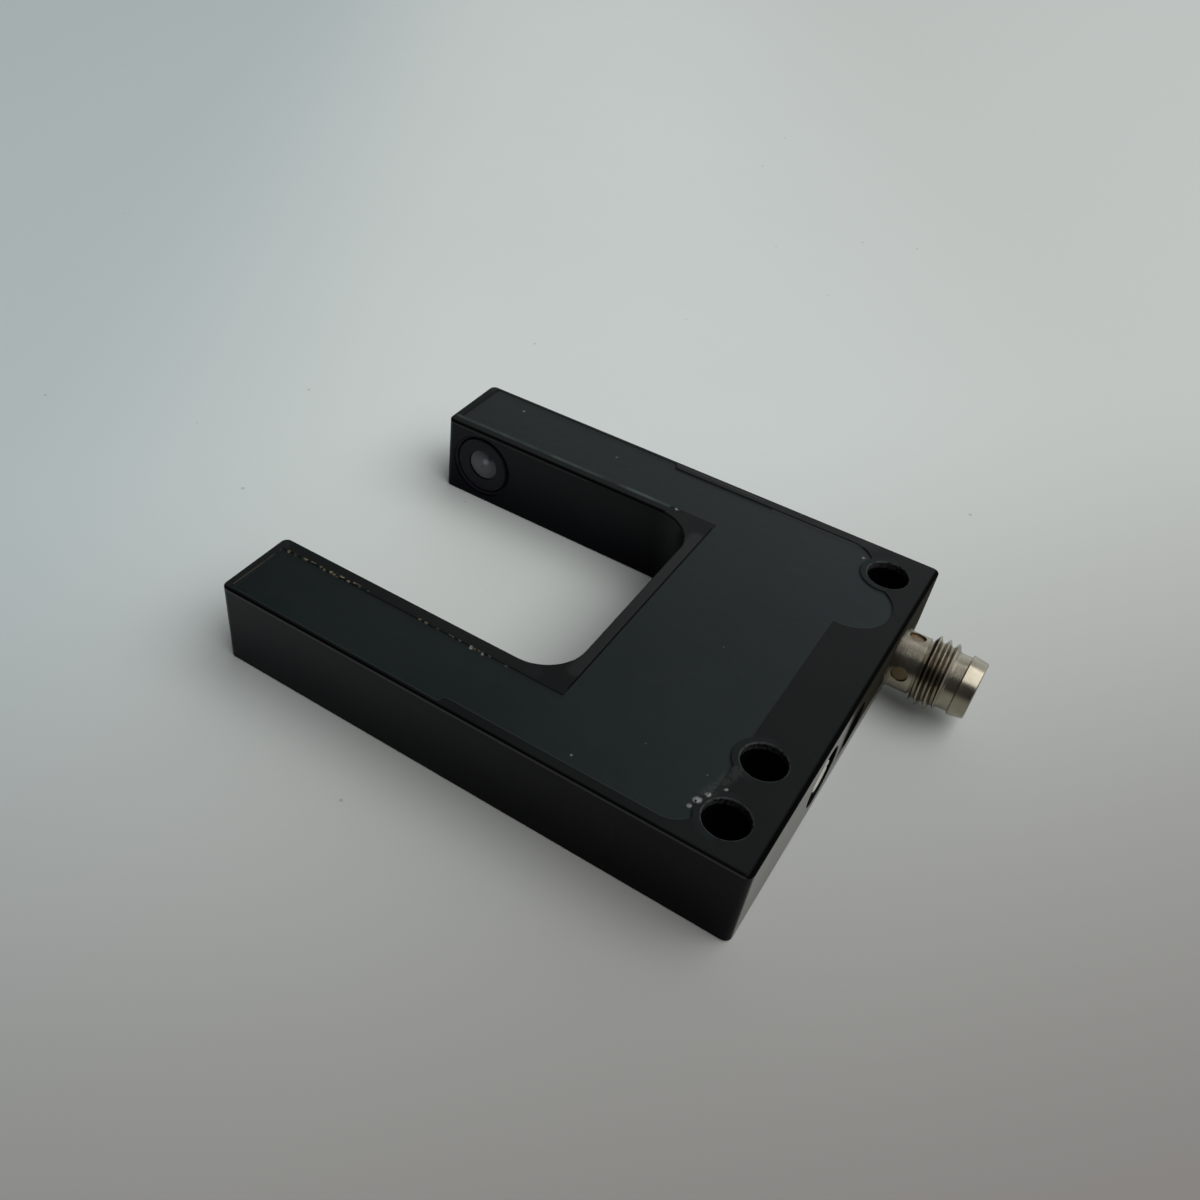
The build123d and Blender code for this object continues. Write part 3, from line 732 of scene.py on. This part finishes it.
def trim_sleeve():
    """Chamfered sleeve in which the ridge is kept. It shares no plane with the ridge or the shell."""
    first, last = THREAD_START + THREAD_CLEAR, THREAD_END - THREAD_CLEAR
    inner, outer = THREAD_ROOT - SLEEVE_SINK, THREAD_CREST + THREAD_CLEAR
    return spun([at_radius(*station) for station in (
        (first, inner), (first, outer - THREAD_CHAMFER), (first + THREAD_CHAMFER, outer),
        (last - THREAD_CHAMFER, outer), (last, outer - THREAD_CHAMFER), (last, inner))])


print("turning tools ready")

# %% [markdown]
# The dimples are cut with four tapered pins. A cut or a join needs two objects, so both shapes are
# lent to helper objects, and these are removed as soon as the result is read back.

# %% Cutting and joining
def dimple_cutters():
    """Four short pins that press the staking dimples."""
    shape = bmesh.new()
    foot_radius, head_radius = [(DIMPLE_RADIUS + change) * MM for change in PIN_TAPER]
    middle = BARREL_RADIUS - DIMPLE_DEPTH + PIN_LENGTH / 2
    for angle in DIMPLE_ANGLES:
        turn = Matrix.Rotation(math.radians(90 - angle), 4, "X")
        outward = Matrix.Translation(Vector((DIMPLE_FROM_BACK, 0, middle)) * MM)
        bmesh.ops.create_cone(shape, cap_ends=True, segments=PIN_SEGMENTS, radius1=foot_radius,
                              radius2=head_radius, depth=PIN_LENGTH * MM,
                              matrix=Matrix.Translation(PLUG_ORIGIN) @ turn @ outward)
    return shape


def helper_object(shape, name):
    """Object that only lends its mesh to a cut."""
    mesh = bpy.data.meshes.new(name)
    shape.to_mesh(mesh)
    shape.free()
    item = bpy.data.objects.new(name, mesh)
    bpy.context.scene.collection.objects.link(item)
    return item


def combine(base, other, operation):
    """Joins two closed shapes and gives back the new one."""
    first, second = helper_object(base, "base"), helper_object(other, "other")
    modifier = first.modifiers.new("join", "BOOLEAN")
    modifier.operation, modifier.object, modifier.solver = operation, second, "EXACT"
    result = bmesh.new()
    graph = bpy.context.evaluated_depsgraph_get()
    result.from_mesh(first.evaluated_get(graph).to_mesh())
    for item in (first, second):
        mesh = item.data
        bpy.data.objects.remove(item)
        bpy.data.meshes.remove(mesh)
    return result


print("joining tools ready")

# %% Plug shell
shell = spun([at_radius(*station) for station in SHELL_OUTLINE])
shell = combine(shell, dimple_cutters(), "DIFFERENCE")
shell = combine(shell, combine(helix_ridge(), trim_sleeve(), "INTERSECT"), "UNION")
print("open edges on the shell:", sum(not edge.is_manifold for edge in shell.edges))

# %% [markdown]
# The plate has gone a little dull and warm. Dirt sits in the thread's grooves, and the dimples are
# brown, because the punch has broken the plate there. Both are found by their distance from the
# plug's axis and from the back face. Very fine rings, left by the lathe, are a bump.

# %% Nickel plate
BARREL_START, BARREL_END = (0.36, 0.4), (2.6, 2.5)
SUNK = (BARREL_RADIUS - 0.02, BARREL_RADIUS - 0.12)
GROOVE_DEEP = (THREAD_CREST - 0.1, THREAD_ROOT)
GROOVES_START, GROOVES_END = (2.6, 2.8), (6.0, 5.7)
ALONG_AXIS = (1.0, 0.05, 0.05)

nickel, tree, shader, place = start_material("nickel_plate", metallic=1.0)
offset = vector_of(tree, "SUBTRACT", place, PLUG_ORIGIN)
from_back = add(tree, "ShaderNodeSeparateXYZ", {0: offset}).outputs["X"]
flat = vector_of(tree, "MULTIPLY", offset, (0.0, 1.0, 1.0))
radius = vector_of(tree, "LENGTH", flat, output="Value")
drift = use(tree, drift_group, place, Size=2.5)["Value"]
specks = use(tree, speck_group, place, Spacing=0.7, Size=0.12, Amount=0.3)["Mask"]
on_barrel = both(tree, between(tree, from_back, *BARREL_START), between(tree, from_back, *BARREL_END))
dimpled = both(tree, on_barrel, between(tree, radius, *SUNK))
on_thread = both(tree, between(tree, from_back, *GROOVES_START), between(tree, from_back, *GROOVES_END))
groove = both(tree, between(tree, radius, *GROOVE_DEEP), on_thread)
browned = layered(tree, blend(tree, drift, shade(150, 143, 127), shade(170, 163, 147)),
                  (both(tree, specks, 0.5), shade(96, 84, 66)),
                  (both(tree, groove, 0.5), shade(104, 92, 74)),
                  (both(tree, dimpled, 0.8), shade(118, 98, 70)))
tree.links.new(browned, shader.inputs["Base Color"])
polished = ramp(tree, drift, 0.0, 1.0, 0.22, 0.27)
tree.links.new(sum_of(tree, "MULTIPLY_ADD", dimpled, 0.15, polished), shader.inputs["Roughness"])
rings = vector_of(tree, "MULTIPLY", place, ALONG_AXIS)
roughen(tree, shader, broken(tree, rings, 0.06, 0.3, 0.7), 0.0015)
finish_piece(shell, "plug_shell", "sensor", "connector_shell", nickel, smooth_angle=32)

# %% [markdown]
# Each arm has a round bezel with a small lens. The lens looks grey and cloudy, because it passes
# infrared light and holds back most of the rest. Its colour is painted lighter in the middle, and a
# painted highlight sits a little aside of the middle and above it.

# %% Lenses
# Place and size of the painted highlight on the lens.
HIGHLIGHT_ASIDE, HIGHLIGHT_ABOVE, HIGHLIGHT_RADIUS = 0.5, 0.8, 0.6
CLEAR_SHARE = 0.2

glass, tree, shader, place = start_material("lens_plastic", roughness=0.2, specular=0.35,
                                            Coat_Weight=0.2, Coat_Roughness=0.05)
# The lens is painted lighter toward the middle.
middle = ramp(tree, from_optical_axis(tree, place), LENS_RADIUS, LENS_RADIUS * CLEAR_SHARE)
painted_highlight = ramp(tree, from_optical_axis(tree, place, HIGHLIGHT_ASIDE, HIGHLIGHT_ABOVE), HIGHLIGHT_RADIUS * MM, 0.0)
drift = use(tree, drift_group, place, Size=1.5)["Value"]
dust = use(tree, speck_group, place, Spacing=0.8, Amount=0.15)["Mask"]
cloudy = layered(tree, blend(tree, middle, shade(46, 47, 52), shade(77, 79, 85)),
                 (both(tree, drift, 0.08), shade(60, 64, 66)), (painted_highlight, shade(132, 138, 143)),
                 (both(tree, dust, 0.3), shade(150, 150, 146)))
tree.links.new(cloudy, shader.inputs["Base Color"])
roughen(tree, shader, use(tree, grain_group, place, Size=0.4)["Height"], 0.0008)
dress(["emitter_lens", "receiver_lens"], glass)

# %% [markdown]
# The bezel is a turned ring in the same black, with faint rings from the tool. On one side of it
# the gap to the housing is in deep shade. That crescent is where a circle of the bezel's size, set
# a little off its middle, doesn't reach.

# %% Bezels
SHADE_ASIDE, SHADE_ABOVE, SHADE_SOFTNESS = -0.3, -0.25, 0.15
TURNED_RINGS = {"Scale": 1200.0, "Distortion": 1.0}

bezel, tree, shader, place = start_material("bezel_plastic", specular=0.17)
drift = use(tree, drift_group, place, Size=3.0)["Value"]
dust = use(tree, speck_group, place, Spacing=0.9, Amount=0.15)["Mask"]
outward = add(tree, "ShaderNodeCombineXYZ", {0: from_optical_axis(tree, place)}).outputs[0]
turning = add(tree, "ShaderNodeTexWave", {"Vector": outward, **TURNED_RINGS}).outputs[1]
off_middle = from_optical_axis(tree, place, SHADE_ASIDE, SHADE_ABOVE)
crescent = between(tree, off_middle, BEZEL_MM - SHADE_SOFTNESS, BEZEL_MM)
black = layered(tree, blend(tree, drift, shade(10, 9, 18), shade(15, 14, 24)),
                (crescent, DEEP_BLACK), (both(tree, dust, 0.4), shade(110, 108, 104)))
tree.links.new(black, shader.inputs["Base Color"])
satin = ramp(tree, drift, 0.0, 1.0, 0.4, 0.5)
tree.links.new(sum_of(tree, "MULTIPLY_ADD", crescent, 0.4, satin), shader.inputs["Roughness"])
roughen(tree, shader, turning, 0.004)
dress(["emitter_lens_holder", "receiver_lens_holder"], bezel)

# %% [markdown]
# Everything else is small or sealed in the resin. Each of these still has its own finish, because
# the model may be cut open or seen from behind. They share one recipe: two tones that drift, fine
# grain, and dust.

# %% One recipe for small parts
def small_finish(name, dark, light, names, roughness=(0.4, 0.5), drift_size=1.5, grain_size=0.2,
                 depth=0.004, dust=0.15, **constants):
    """Material with drifting tone, grain and dust, put on CAD nodes."""
    material, tree, shader, place = start_material(name, **constants)
    drift = use(tree, drift_group, place, Size=drift_size)["Value"]
    specks = use(tree, speck_group, place, Spacing=0.9, Amount=dust)["Mask"]
    tone = blend(tree, drift, shade(*dark), shade(*light))
    dusty = blend(tree, both(tree, specks, SPECK_SHOW), tone, shade(120, 116, 108))
    tree.links.new(dusty, shader.inputs["Base Color"])
    tree.links.new(ramp(tree, drift, 0.0, 1.0, *roughness), shader.inputs["Roughness"])
    roughen(tree, shader, use(tree, grain_group, place, Size=grain_size)["Height"], depth)
    dress(names, material)


small_finish("insert_plastic", (14, 14, 15), (22, 22, 24), ["connector_insert"])
small_finish("gold_plate", (196, 158, 84), (214, 178, 104),
             ["contact_pin_1", "contact_pin_2", "contact_pin_3"],
             roughness=(0.22, 0.34), metallic=1.0, depth=0.002)
small_finish("trimmer_rotor_plastic", (188, 186, 176), (206, 204, 196), ["trimmer_rotor"])
small_finish("trimmer_case", (38, 52, 84), (46, 62, 98), ["trimmer_body"])
small_finish("light_pipe_plastic", (8, 9, 9), (13, 15, 14), ["status_light_pipe"], roughness=(0.85, 0.95),
             specular=0.0, dust=0.05)
small_finish("status_led_epoxy", (168, 128, 60), (186, 146, 78), ["status_led"])
small_finish("emitter_epoxy", (44, 50, 78), (54, 62, 92), ["emitter_diode"], roughness=(0.12, 0.2))
small_finish("receiver_epoxy", (22, 18, 22), (32, 27, 31), ["receiver_diode"], roughness=(0.12, 0.2))
small_finish("tinned_lead", (150, 150, 148), (176, 176, 174),
             ["emitter_leads", "receiver_leads", "trimmer_leads", "control_ic_leads",
              "voltage_regulator_leads", "output_transistor_leads"], roughness=(0.3, 0.42), metallic=1.0)
small_finish("chip_mould", (18, 18, 18), (28, 28, 27),
             ["control_ic", "voltage_regulator", "output_transistor", "protection_diode"],
             grain_size=0.12)
small_finish("capacitor_case", (150, 112, 50), (172, 132, 66), ["storage_capacitor"])
small_finish("capacitor_ceramic", (138, 112, 86), (158, 132, 104), ["chip_capacitors", "chip_resistors"])
small_finish("board_laminate", (16, 58, 36), (24, 74, 46), ["circuit_board"], drift_size=4.0,
             grain_size=0.5)

# %% [markdown]
# The table is a plain pale sheet. Its colour carries a painted fall of the light across a few
# centimetres: lightest behind the object, cooler to the left, and darker and warmer near the camera,
# where painted shade lies. A few specks of dust lie on it.

# %% Floor
FLOOR_REACH = 2.0
TO_FAR_LEFT, FAR_SPAN = (-0.739, 0.674, 0.0), (-88, 48)
TO_RIGHT, COOL_SPAN, GREY_SPAN = (0.858, 0.514, 0.0), (-18, -89), (5, 90)

floor_mesh = bpy.data.meshes.new("floor")
shape = bmesh.new()
bmesh.ops.create_grid(shape, x_segments=1, y_segments=1, size=FLOOR_REACH)
shape.to_mesh(floor_mesh)
shape.free()
floor = bpy.data.objects.new("floor", floor_mesh)
bpy.context.scene.collection.objects.link(floor)
table, tree, shader, place = start_material("table_top", roughness=0.6, specular=0.3)
drift = use(tree, drift_group, place, Size=60.0)["Value"]
dust = use(tree, speck_group, place, Spacing=3.0, Size=0.1, Amount=0.06)["Mask"]
beside = vector_of(tree, "DOT_PRODUCT", place, TO_RIGHT, output="Value")
beyond = vector_of(tree, "DOT_PRODUCT", place, TO_FAR_LEFT, output="Value")
# Painted light: cooler to the left, greyer to the right.
sheet = layered(tree, blend(tree, drift, shade(229, 235, 231), shade(231, 237, 233)),
                (between(tree, beside, *COOL_SPAN), shade(204, 215, 216)),
                (between(tree, beside, *GREY_SPAN), shade(221, 225, 221)))
# Painted shade: darker and warmer toward the camera.
painted_falloff = blend(tree, between(tree, beyond, *FAR_SPAN), shade(140, 134, 130), sheet)
dusty = blend(tree, both(tree, dust, 0.3), painted_falloff, shade(96, 92, 88))
tree.links.new(dusty, shader.inputs["Base Color"])
floor_mesh.materials.append(table)
print("floor reaches", FLOOR_REACH, "m")

# %% [markdown]
# The light is a large window behind the object and to the right, and the grey of the room all
# round. The room is bright behind the object and dim behind the camera, which gives the satin
# faces their slow change from dark at the near end to lighter at the far one. A rounded edge that
# faces the camera mirrors the dim side, so it draws a black line.

# %% Room
BRIGHT_WAY = (0.36, 0.93, 0.0)
DARK_SIDE, DARK_LEVEL, BRIGHT_LEVEL = 0.09, 0.05, 0.93
world = bpy.data.worlds.new("room")
world.use_nodes = True
bpy.context.scene.world = world
sky = world.node_tree
direction = add(sky, "ShaderNodeTexCoord").outputs["Generated"]
toward = vector_of(sky, "DOT_PRODUCT", direction, BRIGHT_WAY, output="Value")
level = add(sky, "ShaderNodeMapRange", {"Value": toward, "From Min": DARK_SIDE, "From Max": 1.0,
                                        "To Min": DARK_LEVEL, "To Max": BRIGHT_LEVEL}).outputs[0]
background = sky.nodes["Background"]
background.inputs["Color"].default_value = shade(247, 252, 255)
sky.links.new(level, background.inputs["Strength"])
print("room strength from", DARK_LEVEL, "to", BRIGHT_LEVEL)

# %% Window
WINDOW_PLACE = Vector((1.0, 0.06, 1.72))
WINDOW_SIZE, WINDOW_POWER = (2.6, 2.0), 33.0

window_data = bpy.data.lights.new("window", "AREA")
window_data.shape = "RECTANGLE"
window_data.size, window_data.size_y = WINDOW_SIZE
window_data.energy = WINDOW_POWER
window = bpy.data.objects.new("window", window_data)
window.location = WINDOW_PLACE
window.rotation_euler = (-WINDOW_PLACE).to_track_quat("-Z", "Y").to_euler()
bpy.context.scene.collection.objects.link(window)
print("window light", WINDOW_POWER, "W")
